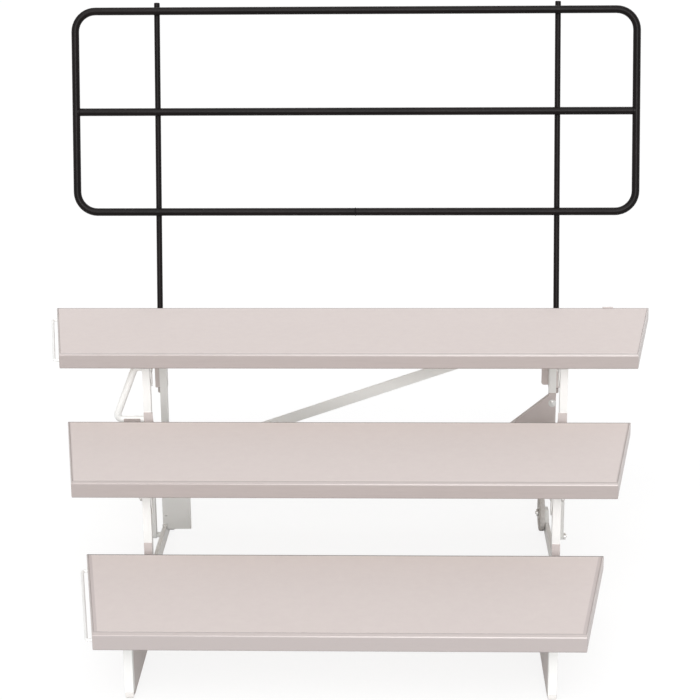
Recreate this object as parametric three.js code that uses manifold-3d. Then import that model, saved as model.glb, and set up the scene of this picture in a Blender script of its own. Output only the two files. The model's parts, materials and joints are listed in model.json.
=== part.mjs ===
// Three-level tapered choir riser with a tubular guard rail, in millimetres, +Z up.
// The middle and top decks stand on parallel leg frames that swing back and down together.
import * as THREE from 'three';
import { mergeVertices } from 'three/addons/utils/BufferGeometryUtils.js';
import Module from 'manifold-3d';

const wasm = await Module();
wasm.setup();

// Driving dimensions
const stepRise = 203.2;
const deckDepth = 457.2;
const deckThickness = 41;
const frontDeckBackWidth = 1382;
const middleDeckSpread = 245;
const topDeckSpread = 212;
const taperAngleShare = 11.25 / 180;
const frameShift = 18;
const legTube = 22;
const legWall = 2;
const pivotDrop = 24;
const pivotHeight = 22;
const legInset = 62;
const rearLegInset = 46;
const frontLegEndInset = 167;

// Fits shared by all pieces
const seat = 0.3;
const running = 0.5;
const overrun = 2;
const sheet = 3.5;

// Derived heights and depths
const taper = taperAngleShare * Math.PI;
const taperShare = Math.tan(taper);
const middleDeckBackWidth = frontDeckBackWidth + middleDeckSpread;
const topDeckBackWidth = middleDeckBackWidth + topDeckSpread;
const levelTops = [stepRise, stepRise * 2, stepRise * 3];
const undersides = levelTops.map((top) => top - deckThickness);
const pivots = undersides.map((underside) => underside - pivotDrop);
const middleLegY = deckDepth + legInset;
const topLegY = deckDepth * 2 + legInset;
const rearLegY = deckDepth * 3 - rearLegInset;
const halfTube = legTube / 2;

// The leg frames nest beside each other: front legs, middle legs, floor rails, top and rear legs
const legStagger = 26;
const railThickness = 12;
const railGap = 6;
const wheelGap = 16;
const halfRail = railThickness / 2;
const frontLegHalf = frontDeckBackWidth / 2 - frontLegEndInset;
const middleLegHalf = frontLegHalf + legStagger;
const floorRailHalf = middleLegHalf + halfTube + railGap + halfRail;
const topLegHalf = floorRailHalf + halfRail + wheelGap + halfTube;

// Materials
const paint = (color, roughness, metalness) =>
  new THREE.MeshStandardMaterial({ color, roughness, metalness });
const deckFinish = paint(0xddd3d0, 0.75, 0);
const trimFinish = paint(0xc4b8b5, 0.55, 0.1);
const frameFinish = paint(0xd9dad8, 0.45, 0.3);
const plateFinish = paint(0xb8adab, 0.5, 0.3);
const railFinish = paint(0x1a1718, 0.35, 0.4);
const rubberFinish = paint(0x6f6a68, 0.85, 0);

// A closed three.js geometry as a solid that can be joined and cut
function solidOf(geometry) {
  const bare = geometry.clone();
  bare.deleteAttribute('normal');
  bare.deleteAttribute('uv');
  const merged = mergeVertices(bare);
  const mesh = new wasm.Mesh({
    numProp: 3,
    vertProperties: merged.attributes.position.array,
    triVerts: Uint32Array.from(merged.index.array),
  });
  return new wasm.Manifold(mesh);
}

function geometryOf(solid) {
  const mesh = solid.getMesh();
  const geometry = new THREE.BufferGeometry();
  geometry.setAttribute('position', new THREE.BufferAttribute(mesh.vertProperties, 3));
  geometry.setIndex(new THREE.BufferAttribute(mesh.triVerts, 1));
  geometry.computeVertexNormals();
  return geometry;
}

const join = (solids) => solids.reduce((whole, next) => whole.add(next));
const cut = (solid, tools) => tools.reduce((rest, tool) => rest.subtract(tool), solid);

// A box between two corners
function boxBetween(low, high) {
  const size = high.map((value, axis) => value - low[axis]);
  const geometry = new THREE.BoxGeometry(...size);
  geometry.translate(...low.map((value, axis) => value + size[axis] / 2));
  return solidOf(geometry);
}

const outline = (points) => new THREE.Shape(points.map(([x, y]) => new THREE.Vector2(x, y)));

function plainExtrude(shape, length) {
  return new THREE.ExtrudeGeometry(shape, { depth: length, bevelEnabled: false, curveSegments: 6 });
}

// A flat shape in the plan, raised from one height to another
function raised(shape, from, to) {
  const geometry = plainExtrude(shape, to - from);
  geometry.translate(0, 0, from);
  return solidOf(geometry);
}

// A shape drawn in Y and Z, running along X
function alongX(shape, from, to) {
  const geometry = plainExtrude(shape, to - from);
  geometry.rotateZ(Math.PI / 2);
  geometry.rotateY(Math.PI / 2);
  geometry.translate(from, 0, 0);
  return solidOf(geometry);
}

// A shape drawn in X and Z, running back along Y
function alongY(shape, from, to) {
  const geometry = plainExtrude(shape, to - from);
  geometry.rotateX(Math.PI / 2);
  geometry.translate(0, to, 0);
  return solidOf(geometry);
}

// A round bar along X
const holeSides = 16;
function barX(radius, y, z, from, to) {
  const geometry = new THREE.CylinderGeometry(radius, radius, to - from, holeSides);
  geometry.rotateZ(Math.PI / 2);
  geometry.translate((from + to) / 2, y, z);
  return solidOf(geometry);
}

const riser = new THREE.Group();
const frames = new THREE.Group();
frames.position.x = frameShift;
riser.add(frames);

function place(parent, name, solid, material, x = 0, y = 0, z = 0) {
  const mesh = new THREE.Mesh(geometryOf(solid), material);
  mesh.name = name;
  mesh.position.set(x, y, z);
  parent.add(mesh);
  return mesh;
}

// The frames repeat on both sides
const sides = [
  ['left', -1],
  ['right', 1],
];
const mirrored = (side, low, high) => (side > 0 ? [low, high] : [-high, -low]);

// Decks: an edge trim ring, a board that drops into it and a welded subframe below the board
const trimWall = 3;
const trimLip = 5;
const noseLip = 20;
const trimLipThickness = 2.6;
const trimFlange = 12;
const noseRadius = 3;
const boardThickness = 22;
const channelWall = 2.5;

// The tapered outline of a deck, drawn in by an inset; its front edge is at zero
function deckShape(backWidth, inset, front = inset) {
  const halfAt = (y) => backWidth / 2 - (deckDepth - y) * taperShare - inset / Math.cos(taper);
  const back = deckDepth - inset;
  return outline([
    [-halfAt(front), front],
    [halfAt(front), front],
    [halfAt(back), back],
    [-halfAt(back), back],
  ]);
}

function deckTrim(backWidth) {
  const geometry = new THREE.ExtrudeGeometry(deckShape(backWidth, 0), {
    depth: deckThickness - noseRadius * 2,
    bevelEnabled: true,
    bevelThickness: noseRadius,
    bevelSize: noseRadius,
    bevelOffset: -noseRadius,
    bevelSegments: 3,
  });
  geometry.translate(0, 0, noseRadius);
  const lipUnderside = deckThickness - trimLipThickness;
  return cut(solidOf(geometry), [
    raised(deckShape(backWidth, trimWall), channelWall, lipUnderside),
    raised(deckShape(backWidth, trimLip, noseLip), lipUnderside - seat, deckThickness + overrun),
    raised(deckShape(backWidth, trimFlange), -overrun, channelWall + seat),
  ]);
}

function deckBoard(backWidth) {
  const lipUnderside = deckThickness - trimLipThickness - seat;
  return join([
    raised(deckShape(backWidth, trimWall + seat), deckThickness - boardThickness, lipUnderside),
    raised(deckShape(backWidth, trimLip + seat, noseLip + seat), lipUnderside - overrun, deckThickness),
  ]);
}

// An open-bottomed channel section between two sides, standing on the underside of the deck
const channelHeight = deckThickness - boardThickness - seat;
const channelSection = (from, to) =>
  outline([
    [from, 0],
    [from + channelWall, 0],
    [from + channelWall, channelHeight - channelWall],
    [to - channelWall, channelHeight - channelWall],
    [to - channelWall, 0],
    [to, 0],
    [to, channelHeight],
    [from, channelHeight],
  ]);

// Two channels over the hinge plates, tied by a cross channel in the middle of the deck
const crossWidth = 60;
function deckSubframe(inner, outer) {
  const middle = deckDepth / 2;
  const ends = [trimFlange + seat, deckDepth - trimFlange - seat];
  return join([
    alongY(channelSection(inner, outer), ...ends),
    alongY(channelSection(-outer, -inner), ...ends),
    alongX(channelSection(middle - crossWidth / 2, middle + crossWidth / 2), -inner - channelWall, inner + channelWall),
  ]);
}

// Stops that rise behind a deck, in front of the legs of the level above
const stopRise = 10;
const flangeGrip = 50;
const legGap = 0.8;
const plateReach = halfTube + legGap + sheet;
function deckStops(half) {
  const face = legInset - halfTube - legGap + deckDepth;
  const front = deckDepth - flangeGrip;
  const seatFront = deckDepth - trimFlange - seat;
  const shape = outline([
    [front, -seat - sheet],
    [face, -seat - sheet],
    [face, deckThickness + stopRise],
    [face - sheet, deckThickness + stopRise],
    [face - sheet, -seat],
    [seatFront, -seat],
    [seatFront, channelWall],
    [front, channelWall],
  ]);
  return sides.map(([, side]) =>
    alongX(shape, side * half - halfTube, side * half + halfTube),
  );
}

const levels = [
  {
    name: 'front',
    backWidth: frontDeckBackWidth,
    channel: [frontLegHalf - halfTube, middleLegHalf + halfTube],
  },
  {
    name: 'middle',
    backWidth: middleDeckBackWidth,
    channel: [middleLegHalf - plateReach, topLegHalf + halfTube],
  },
  {
    name: 'top',
    backWidth: topDeckBackWidth,
    channel: [topLegHalf - plateReach, topLegHalf + plateReach],
  },
];
levels.forEach(({ name, backWidth, channel }, level) => {
  const y = deckDepth * level;
  const z = undersides[level];
  const subframe = deckSubframe(...channel);
  const fitted = level === 0 ? join([subframe, ...deckStops(middleLegHalf)]) : subframe;
  place(riser, `${name}_deck_board`, deckBoard(backWidth), deckFinish, 0, y, z);
  place(riser, `${name}_deck_trim`, deckTrim(backWidth), trimFinish, 0, y, z);
  place(frames, `${name}_deck_subframe`, fitted, plateFinish, 0, y, z);
});

// Front legs with rounded glides, and the tube that ties them under the front deck
const glideHeight = 18;
const glideRound = 8;
const tieDrop = 3;
function squareTube(width, wall) {
  const half = width / 2;
  const corner = (reach) => [
    [-reach, -reach],
    [reach, -reach],
    [reach, reach],
    [-reach, reach],
  ];
  const shape = outline(corner(half));
  shape.holes.push(new THREE.Path(corner(half - wall).map(([x, y]) => new THREE.Vector2(x, y))));
  return shape;
}

function glideShape() {
  const shape = new THREE.Shape();
  shape.moveTo(-halfTube + glideRound, 0);
  shape.lineTo(halfTube - glideRound, 0);
  shape.quadraticCurveTo(halfTube, 0, halfTube, glideRound);
  shape.lineTo(halfTube, glideHeight - seat);
  shape.lineTo(-halfTube, glideHeight - seat);
  shape.lineTo(-halfTube, glideRound);
  shape.quadraticCurveTo(-halfTube, 0, -halfTube + glideRound, 0);
  return shape;
}

for (const [name, side] of sides) {
  const leg = raised(squareTube(legTube, legWall), glideHeight, undersides[0] - seat);
  const glide = alongY(glideShape(), -halfTube, halfTube);
  place(riser, `${name}_front_leg`, leg, frameFinish, side * frontLegHalf, legInset, 0);
  place(riser, `${name}_front_glide`, glide, rubberFinish, side * frontLegHalf, legInset, 0);
}
const tieReach = frontLegHalf - halfTube - seat;
const tieTube = (reach) => {
  const geometry = plainExtrude(squareTube(legTube, legWall), reach * 2);
  geometry.rotateY(Math.PI / 2);
  geometry.translate(-reach, 0, 0);
  return solidOf(geometry);
};
place(riser, 'front_leg_tie', tieTube(tieReach), frameFinish, 0, legInset, undersides[0] - tieDrop - halfTube);

// Side panels: a folded sheet behind each front leg, turned out at the back to carry the floor rail
const padHeight = 3;
const panelFold = 20;
const panelInset = 17.2;
const panelBack = deckDepth - panelInset;
const railHeight = 40;
function sidePanel(side) {
  const inner = side * (frontLegHalf - halfTube);
  const outer = inner + side * sheet;
  const fold = inner + side * panelFold;
  const top = undersides[0] - seat;
  const section = outline([
    [inner, padHeight],
    [fold, padHeight],
    [fold, padHeight + sheet],
    [outer, padHeight + sheet],
    [outer, top - sheet],
    [fold, top - sheet],
    [fold, top],
    [inner, top],
  ]);
  const reach = frameShift + side * (floorRailHalf + halfRail);
  const foldBack = boxBetween(
    [Math.min(inner, reach), panelBack - sheet, padHeight],
    [Math.max(inner, reach), panelBack, padHeight + railHeight],
  );
  const stopX = frameShift + side * middleLegHalf;
  const stopRoom = boxBetween(
    [stopX - halfTube - seat, deckDepth - flangeGrip - seat, top - sheet - seat],
    [stopX + halfTube + seat, panelBack + overrun, top + overrun],
  );
  return cut(join([alongY(section, legInset + halfTube + seat, panelBack), foldBack]), [stopRoom]);
}
for (const [name, side] of sides) {
  place(riser, `${name}_side_panel`, sidePanel(side), plateFinish);
}

// A stud along X from its root to a nut, both closed, turned about X
const pinRadius = 5;
const nutRadius = 9;
const nutLength = 6;
const studSides = 12;
function plainPin(root, end) {
  return barX(pinRadius, 0, 0, Math.min(root, end), Math.max(root, end));
}
function stud(root, nut) {
  const away = Math.sign(nut - root);
  const profile = [
    [0, root],
    [pinRadius, root],
    [pinRadius, nut],
    [nutRadius, nut],
    [nutRadius, nut + away * nutLength],
    [0, nut + away * nutLength],
  ];
  const ordered = away > 0 ? profile : profile.reverse();
  return turnedX(ordered, studSides);
}

function turnedX(points, segments) {
  const geometry = new THREE.LatheGeometry(
    points.map(([radius, reach]) => new THREE.Vector2(radius, reach)),
    segments,
  );
  geometry.rotateZ(-Math.PI / 2);
  return solidOf(geometry);
}

// A spacer round a stud, from a cheek or rail towards the piece that turns on the stud
const collarRadius = 8;
const collar = (from, to) => barX(collarRadius, 0, 0, Math.min(from, to), Math.max(from, to));

// Floor rails: flat bars with a rounded back end and welded studs for the legs and the wheel
const wheelRadius = 55;
const wheelWidth = 16;
const wheelSetback = 90.6;
const wheelY = topLegY + wheelSetback;
const wheelLift = 2;
const wheelZ = wheelRadius + wheelLift;
const wheelBoss = 14;
const railRise = 46;
function roundedBar(from, to, low, high) {
  const radius = (high - low) / 2;
  const shape = new THREE.Shape();
  shape.moveTo(from, low);
  shape.lineTo(to, low);
  shape.absarc(to, low + radius, radius, -Math.PI / 2, Math.PI / 2, false);
  shape.lineTo(from, high);
  return shape;
}
function floorRail(side) {
  const flat = alongX(
    roundedBar(panelBack + seat, wheelY, padHeight, padHeight + railHeight),
    -halfRail,
    halfRail,
  );
  const ear = alongX(
    outline([
      [wheelY - railRise, padHeight + railHeight - overrun],
      [wheelY + railHeight / 2, padHeight + railHeight / 2],
      [wheelY + wheelBoss, wheelZ + wheelBoss],
      [wheelY - wheelBoss, wheelZ + wheelBoss],
    ]),
    -halfRail,
    halfRail,
  );
  const toMiddleLeg = middleLegHalf - floorRailHalf;
  const toTopLeg = topLegHalf - floorRailHalf;
  const leg = halfTube + running;
  const wheelSpan = halfRail + legGap + wheelWidth + legGap;
  const studs = [
    stud(0, side * (toMiddleLeg - leg)).translate([0, middleLegY, pivotHeight]),
    stud(0, side * (toTopLeg + leg)).translate([0, topLegY, pivotHeight]),
    stud(0, -side * wheelSpan).translate([0, wheelY, wheelZ]),
    collar(0, side * (toTopLeg - leg)).translate([0, topLegY, pivotHeight]),
    collar(0, side * (toMiddleLeg + leg)).translate([0, middleLegY, pivotHeight]),
  ];
  return join([flat, ear, ...studs]);
}
for (const [name, side] of sides) {
  place(frames, `${name}_floor_rail`, floorRail(side), frameFinish, side * floorRailHalf, 0, 0);
  const strip = boxBetween([-halfRail, middleLegY, 0], [halfRail, wheelY, padHeight - seat]);
  place(frames, `${name}_floor_strip`, strip, rubberFinish, side * floorRailHalf, 0, 0);
}

// Moving legs: square tube with rounded ends, drilled at its pivots
function movingLeg(bottom, top, holeZs) {
  const tube = (reach, cap) => {
    const shape = new THREE.Shape();
    shape.absarc(0, bottom, reach, -Math.PI, 0, false);
    shape.absarc(0, top, reach, 0, Math.PI, false);
    return alongX(shape, -cap, cap);
  };
  const inner = halfTube - legWall;
  return cut(tube(halfTube, halfTube), [
    tube(inner, inner),
    ...holeZs.map((z) => barX(pinRadius + running, 0, z, -halfTube - overrun, halfTube + overrun)),
  ]);
}
const middleTieZ = 76;
const topTieZ = 200;
const rearTieZ = 110;
const linkRise = 30;
const linkZ = topTieZ + linkRise;
const rearFootHeight = 16;
for (const [name, side] of sides) {
  const middleLeg = movingLeg(pivotHeight, pivots[1], [pivotHeight, pivots[1]]);
  const topLeg = movingLeg(pivotHeight, pivots[2], [pivotHeight, linkZ, pivots[1], pivots[2]]);
  place(frames, `${name}_middle_leg`, middleLeg, frameFinish, side * middleLegHalf, middleLegY, 0);
  place(frames, `${name}_top_leg`, topLeg, frameFinish, side * topLegHalf, topLegY, 0);
}
const legTie = (half) => tieTube(half - halfTube - seat);
place(frames, 'middle_leg_tie', legTie(middleLegHalf), frameFinish, 0, middleLegY, middleTieZ);
place(frames, 'top_leg_tie', legTie(topLegHalf), frameFinish, 0, topLegY, topTieZ);

// Rear legs: open at the bottom for the crowned foot
function rearLeg() {
  const opening = boxBetween(
    [-halfTube - overrun, -halfTube - overrun, -halfTube],
    [halfTube + overrun, halfTube + overrun, rearFootHeight],
  );
  return cut(movingLeg(0, pivots[2], [linkZ, pivots[2]]), [opening]);
}
function crownedFoot() {
  const shape = new THREE.Shape();
  const spread = Math.asin(halfTube / pivotHeight);
  shape.absarc(0, pivotHeight, pivotHeight, -Math.PI / 2 - spread, -Math.PI / 2 + spread, false);
  shape.lineTo(halfTube, rearFootHeight - seat);
  shape.lineTo(-halfTube, rearFootHeight - seat);
  return alongX(shape, -halfTube, halfTube);
}
for (const [name, side] of sides) {
  place(frames, `${name}_rear_leg`, rearLeg(), frameFinish, side * topLegHalf, rearLegY, 0);
  place(frames, `${name}_rear_foot`, crownedFoot(), rubberFinish, side * topLegHalf, rearLegY, 0);
}
place(frames, 'rear_leg_tie', legTie(topLegHalf), frameFinish, 0, rearLegY, rearTieZ);

// Diagonal brace across the front of the rear legs, rising to the right
const braceWidth = 34;
const braceThickness = 5;
const braceLowZ = 128;
const braceHighZ = 552;
const braceTopClear = 4;
const braceFront = -halfTube - seat - braceThickness;
function rearBrace() {
  const rise = braceHighZ - braceLowZ;
  const run = topLegHalf * 2;
  const halfDrop = (braceWidth / 2) * (Math.hypot(rise, run) / run);
  const reach = topLegHalf + halfTube;
  const heightAt = (x) => braceLowZ + ((x + topLegHalf) * rise) / run;
  const ceiling = pivots[2] + braceTopClear;
  const topCutX = ((ceiling - halfDrop - braceLowZ) * run) / rise - topLegHalf;
  const bar = alongY(
    outline([
      [-reach, heightAt(-reach) - halfDrop],
      [reach, heightAt(reach) - halfDrop],
      [reach, ceiling],
      [topCutX, ceiling],
      [-reach, heightAt(-reach) + halfDrop],
    ]),
    braceFront,
    braceFront + braceThickness,
  );
  return bar;
}
place(frames, 'rear_diagonal_brace', rearBrace(), frameFinish, 0, rearLegY, 0);

// Triangular gusset in the lower right corner of the rear frame, with a folded long edge
const gussetTop = 350;
const gussetRun = 306;
const gussetFold = 14;
function rearGusset() {
  const low = rearTieZ - halfTube;
  const right = topLegHalf + halfTube;
  const inner = topLegHalf - halfTube;
  const corner = inner - gussetRun;
  const face = outline([
    [corner, low],
    [right, low],
    [right, gussetTop],
    [inner, gussetTop],
  ]);
  const angle = Math.atan2(gussetTop - low, gussetRun);
  const dx = Math.sin(angle) * sheet;
  const dz = Math.cos(angle) * sheet;
  const fold = outline([
    [corner, low],
    [corner + dx / Math.sin(angle), low],
    [inner, gussetTop - dz - (dx * (gussetTop - low)) / gussetRun],
    [inner, gussetTop],
  ]);
  const front = -halfTube - seat - sheet;
  return join([alongY(face, front, front + sheet), alongY(fold, front - gussetFold, front + sheet)]);
}
place(frames, 'rear_corner_gusset', rearGusset(), plateFinish, 0, rearLegY, 0);

// Hinge brackets, each drawn about its own pivot, with the welded stud that the leg turns on
const cheekDrop = 16;
const hingeDrop = 55;
const hingeGrip = 60;
const boltReach = halfTube + legGap;
const flangeTop = pivotDrop - seat;
const flangeBottom = flangeTop - sheet;

// The bracket on top of a leg: a plate under the deck, a web behind the leg and an inner cheek
function frontHinge(side, pin = stud(-side * (boltReach + sheet), side * (halfTube + running))) {
  const back = boltReach + sheet;
  const channel = outline([
    [boltReach, -hingeDrop],
    [back, -hingeDrop],
    [back, flangeBottom],
    [boltReach + hingeGrip, flangeBottom],
    [boltReach + hingeGrip, flangeTop],
    [-boltReach, flangeTop],
    [-boltReach, flangeBottom],
    [boltReach, flangeBottom],
  ]);
  const cheek = outline([
    [-boltReach, flangeTop],
    [-boltReach, -cheekDrop],
    [boltReach, -hingeDrop],
    [back, -hingeDrop],
    [back, flangeTop],
  ]);
  return join([
    alongX(channel, ...mirrored(side, -back, halfTube)),
    alongX(cheek, ...mirrored(side, -back, -boltReach)),
    pin,
  ]);
}

// The top legs carry the same bracket, with a pin that ends flush in the outer wall of the leg
function flushHinge(side) {
  return frontHinge(side, plainPin(-side * (boltReach + sheet), side * (halfTube - seat)));
}

// The bracket behind a deck: a stop in front of the leg above the pivot and an inner cheek
function rearHinge(side) {
  const edge = -legInset;
  const face = -boltReach;
  const stopTop = pivotDrop + deckThickness + stopRise;
  const stop = outline([
    [edge - flangeGrip, flangeBottom],
    [face, flangeBottom],
    [face, stopTop],
    [face - sheet, stopTop],
    [face - sheet, flangeTop],
    [edge - flangeGrip, flangeTop],
  ]);
  const cheek = outline([
    [edge - flangeGrip, flangeBottom],
    [-cheekDrop, -cheekDrop],
    [cheekDrop - sheet, -cheekDrop],
    [cheekDrop, -cheekDrop + sheet],
    [cheekDrop, cheekDrop],
    [face, stopTop - cheekDrop],
    [face - sheet, stopTop - cheekDrop],
    [face - sheet, flangeTop],
    [edge - flangeGrip, flangeTop],
  ]);
  const inner = boltReach + sheet;
  return join([
    alongX(stop, ...mirrored(side, -inner, halfTube)),
    alongX(cheek, ...mirrored(side, -inner, -boltReach)),
    stud(-side * inner, side * (halfTube + running)),
  ]);
}

// The bracket over a rear leg: a plate under the top deck and an outer cheek
function endHinge(side) {
  const back = halfTube - running;
  const plate = outline([
    [-hingeGrip, flangeBottom],
    [back, flangeBottom],
    [back, flangeTop],
    [-hingeGrip, flangeTop],
  ]);
  const cheek = outline([
    [-hingeGrip / 2, flangeTop],
    [-cheekDrop, -cheekDrop],
    [back, -cheekDrop],
    [back, flangeTop],
  ]);
  const outer = boltReach + sheet;
  return join([
    alongX(plate, ...mirrored(side, -halfTube, outer)),
    alongX(cheek, ...mirrored(side, boltReach, outer)),
    stud(side * outer, -side * (halfTube + running)),
  ]);
}

for (const [name, side] of sides) {
  const hinges = [
    ['middle_front_hinge', frontHinge, frameFinish, middleLegHalf, middleLegY, pivots[1]],
    ['middle_rear_hinge', rearHinge, plateFinish, topLegHalf, topLegY, pivots[1]],
    ['top_front_hinge', flushHinge, frameFinish, topLegHalf, topLegY, pivots[2]],
    ['top_rear_hinge', endHinge, plateFinish, topLegHalf, rearLegY, pivots[2]],
  ];
  for (const [hinge, make, finish, half, y, z] of hinges) {
    place(frames, `${name}_${hinge}`, make(side), finish, side * half, y, z);
  }
}

// Level links on the outside of the top and rear legs, with a welded stud at each end
const linkThickness = 5;
const linkWidth = 24;
const linkInner = halfTube + legGap;
function levelLink(side) {
  const reach = linkWidth / 2;
  const shape = new THREE.Shape();
  shape.absarc(rearLegY, 0, reach, -Math.PI / 2, Math.PI / 2, false);
  shape.absarc(topLegY, 0, reach, Math.PI / 2, (Math.PI * 3) / 2, false);
  return join([
    alongX(shape, ...mirrored(side, linkInner, linkInner + linkThickness)),
    ...[topLegY, rearLegY].map((y) =>
      stud(side * (linkInner + linkThickness), -side * (halfTube + running)).translate([0, y, 0]),
    ),
  ]);
}
for (const [name, side] of sides) {
  place(frames, `${name}_level_link`, levelLink(side), frameFinish, side * topLegHalf, 0, linkZ);
}

// Transport wheels on the inner side of the floor rails, each a tyre on a hub
const tyreDepth = 11;
const hubWeb = 8;
const hubRadius = 13;
const wheelInner = floorRailHalf - halfRail - legGap;
const wheelSides = 32;
const half = wheelWidth / 2;
const rimRadius = wheelRadius - tyreDepth;
const bore = pinRadius + running;
const tyre = turnedX(
  [
    [rimRadius, -half],
    [wheelRadius - legWall, -half],
    [wheelRadius, -half + legWall],
    [wheelRadius, half - legWall],
    [wheelRadius - legWall, half],
    [rimRadius, half],
    [rimRadius, -half],
  ],
  wheelSides,
);
const hub = turnedX(
  [
    [bore, -half],
    [hubRadius, -half],
    [hubRadius, -hubWeb / 2],
    [rimRadius - sheet, -hubWeb / 2],
    [rimRadius - sheet, -half],
    [rimRadius - seat, -half],
    [rimRadius - seat, half],
    [rimRadius - sheet, half],
    [rimRadius - sheet, hubWeb / 2],
    [hubRadius, hubWeb / 2],
    [hubRadius, half],
    [bore, half],
    [bore, -half],
  ],
  wheelSides,
);
for (const [name, side] of sides) {
  const x = side * (wheelInner - half);
  place(frames, `${name}_wheel_tyre`, tyre, rubberFinish, x, wheelY, wheelZ);
  place(frames, `${name}_wheel_hub`, hub, frameFinish, x, wheelY, wheelZ);
}

// Guard plate in front of the left wheel, standing on the left floor rail
const guardWidth = 84;
const guardTop = 134;
const guardLow = 30;
const guardStand = 67;
const guardY = wheelY - guardStand;
const guardFold = 12;
function wheelGuard() {
  const outer = -floorRailHalf - halfRail;
  const clear = -floorRailHalf + halfRail + seat;
  const right = outer + guardWidth;
  const onRail = padHeight + railHeight + seat;
  const face = outline([
    [outer, onRail],
    [clear, onRail],
    [clear, guardLow],
    [right, guardLow],
    [right, guardTop],
    [outer, guardTop],
  ]);
  return join([
    alongY(face, guardY, guardY + sheet),
    boxBetween([right - sheet, guardY, guardLow], [right, guardY + guardFold, guardTop]),
    boxBetween([outer, guardY - guardFold, onRail], [clear - seat, guardY + sheet, onRail + sheet]),
  ]);
}
place(frames, 'left_wheel_guard', wheelGuard(), frameFinish);

// A path of straight runs joined by round bends, sampled only where it turns
class BentPath extends THREE.Curve {
  constructor(corners, bend, bendSteps) {
    super();
    this.nodes = [corners[0]];
    for (let i = 1; i < corners.length - 1; i += 1) {
      this.nodes.push(...BentPath.arc(corners[i - 1], corners[i], corners[i + 1], bend, bendSteps));
    }
    this.nodes.push(corners[corners.length - 1]);
  }

  // Points of the round bend at a corner
  static arc(before, corner, after, bend, steps) {
    const back = before.clone().sub(corner).normalize();
    const ahead = after.clone().sub(corner).normalize();
    const halfAngle = back.angleTo(ahead) / 2;
    const centre = back.clone().add(ahead).normalize().multiplyScalar(bend / Math.sin(halfAngle)).add(corner);
    const start = back.multiplyScalar(bend / Math.tan(halfAngle)).add(corner).sub(centre);
    const end = ahead.multiplyScalar(bend / Math.tan(halfAngle)).add(corner).sub(centre);
    const turn = Math.PI - halfAngle * 2;
    return Array.from({ length: steps + 1 }, (_, step) => {
      const angle = (turn * step) / steps;
      const first = start.clone().multiplyScalar(Math.sin(turn - angle) / Math.sin(turn));
      const second = end.clone().multiplyScalar(Math.sin(angle) / Math.sin(turn));
      return first.add(second).add(centre);
    });
  }

  getPoint(t, target = new THREE.Vector3()) {
    const place = t * (this.nodes.length - 1);
    const index = Math.min(Math.floor(place), this.nodes.length - 2);
    return target.lerpVectors(this.nodes[index], this.nodes[index + 1], place - index);
  }

  getUtoTmapping(u) {
    return u;
  }
}

function ring(radius, wall, segments) {
  const circle = (reach) =>
    Array.from({ length: segments }, (_, step) => {
      const angle = (Math.PI * 2 * step) / segments;
      return new THREE.Vector2(Math.cos(angle) * reach, Math.sin(angle) * reach);
    });
  const shape = new THREE.Shape(circle(radius));
  if (wall > 0) shape.holes.push(new THREE.Path(circle(radius - wall)));
  return shape;
}

function bentTube(corners, bend, bendSteps, radius, wall, segments) {
  const path = new BentPath(corners.map((corner) => new THREE.Vector3(...corner)), bend, bendSteps);
  const geometry = new THREE.ExtrudeGeometry(ring(radius, wall, segments), {
    steps: path.nodes.length - 1,
    extrudePath: path,
  });
  return solidOf(geometry);
}

// Bent loop bar on the outer face of the left top leg
const loopRadius = 10.5;
const loopBend = 15;
const loopLowZ = 390;
const loopHighZ = 551;
const loopLowReach = 85;
const loopHighReach = 22;
const loopBar = bentTube(
  [
    [-halfTube - seat, 0, loopLowZ],
    [-halfTube - loopLowReach, 0, loopLowZ],
    [-halfTube - loopHighReach, 0, loopHighZ],
    [-halfTube - seat, 0, loopHighZ],
  ],
  loopBend,
  4,
  loopRadius,
  legWall,
  10,
);
place(frames, 'left_leg_loop', loopBar, frameFinish, -topLegHalf, topLegY, 0);

// Stand-off bars on the left end of the front and top decks
const endBarRadius = 4;
const endBarStand = 14;
const endBarBend = 8;
const endBarFront = 14;
const endBarBack = 60;
function endBar(backWidth) {
  const sideAt = (y) => -(backWidth / 2 - (deckDepth - y) * taperShare);
  const out = (y, stand) => [
    sideAt(y) - Math.cos(taper) * stand,
    y - Math.sin(taper) * stand,
    deckThickness / 2,
  ];
  const first = endBarFront;
  const last = deckDepth - endBarBack;
  return bentTube(
    [out(first, seat), out(first, endBarStand), out(last, endBarStand), out(last, seat)],
    endBarBend,
    3,
    endBarRadius,
    0,
    8,
  );
}
place(riser, 'front_end_bar', endBar(frontDeckBackWidth), frameFinish, 0, 0, undersides[0]);
place(riser, 'top_end_bar', endBar(topDeckBackWidth), frameFinish, 0, deckDepth * 2, undersides[2]);

// Small catch hooked over the back edge of the top deck
const catchInset = 142.5;
const catchX = topDeckBackWidth / 2 - catchInset;
const catchWidth = 32;
const catchRise = 2.5;
const catchHook = 24;
const catchShape = outline([
  [deckDepth - trimLip, deckThickness + seat],
  [deckDepth + seat, deckThickness + seat],
  [deckDepth + seat, deckThickness - catchHook],
  [deckDepth + seat + sheet, deckThickness - catchHook],
  [deckDepth + seat + sheet, deckThickness + catchRise],
  [deckDepth - trimLip, deckThickness + catchRise],
]);
const rearCatch = alongX(catchShape, catchX, catchX + catchWidth);
place(riser, 'top_rear_catch', rearCatch, plateFinish, 0, deckDepth * 2, undersides[2]);

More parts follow.
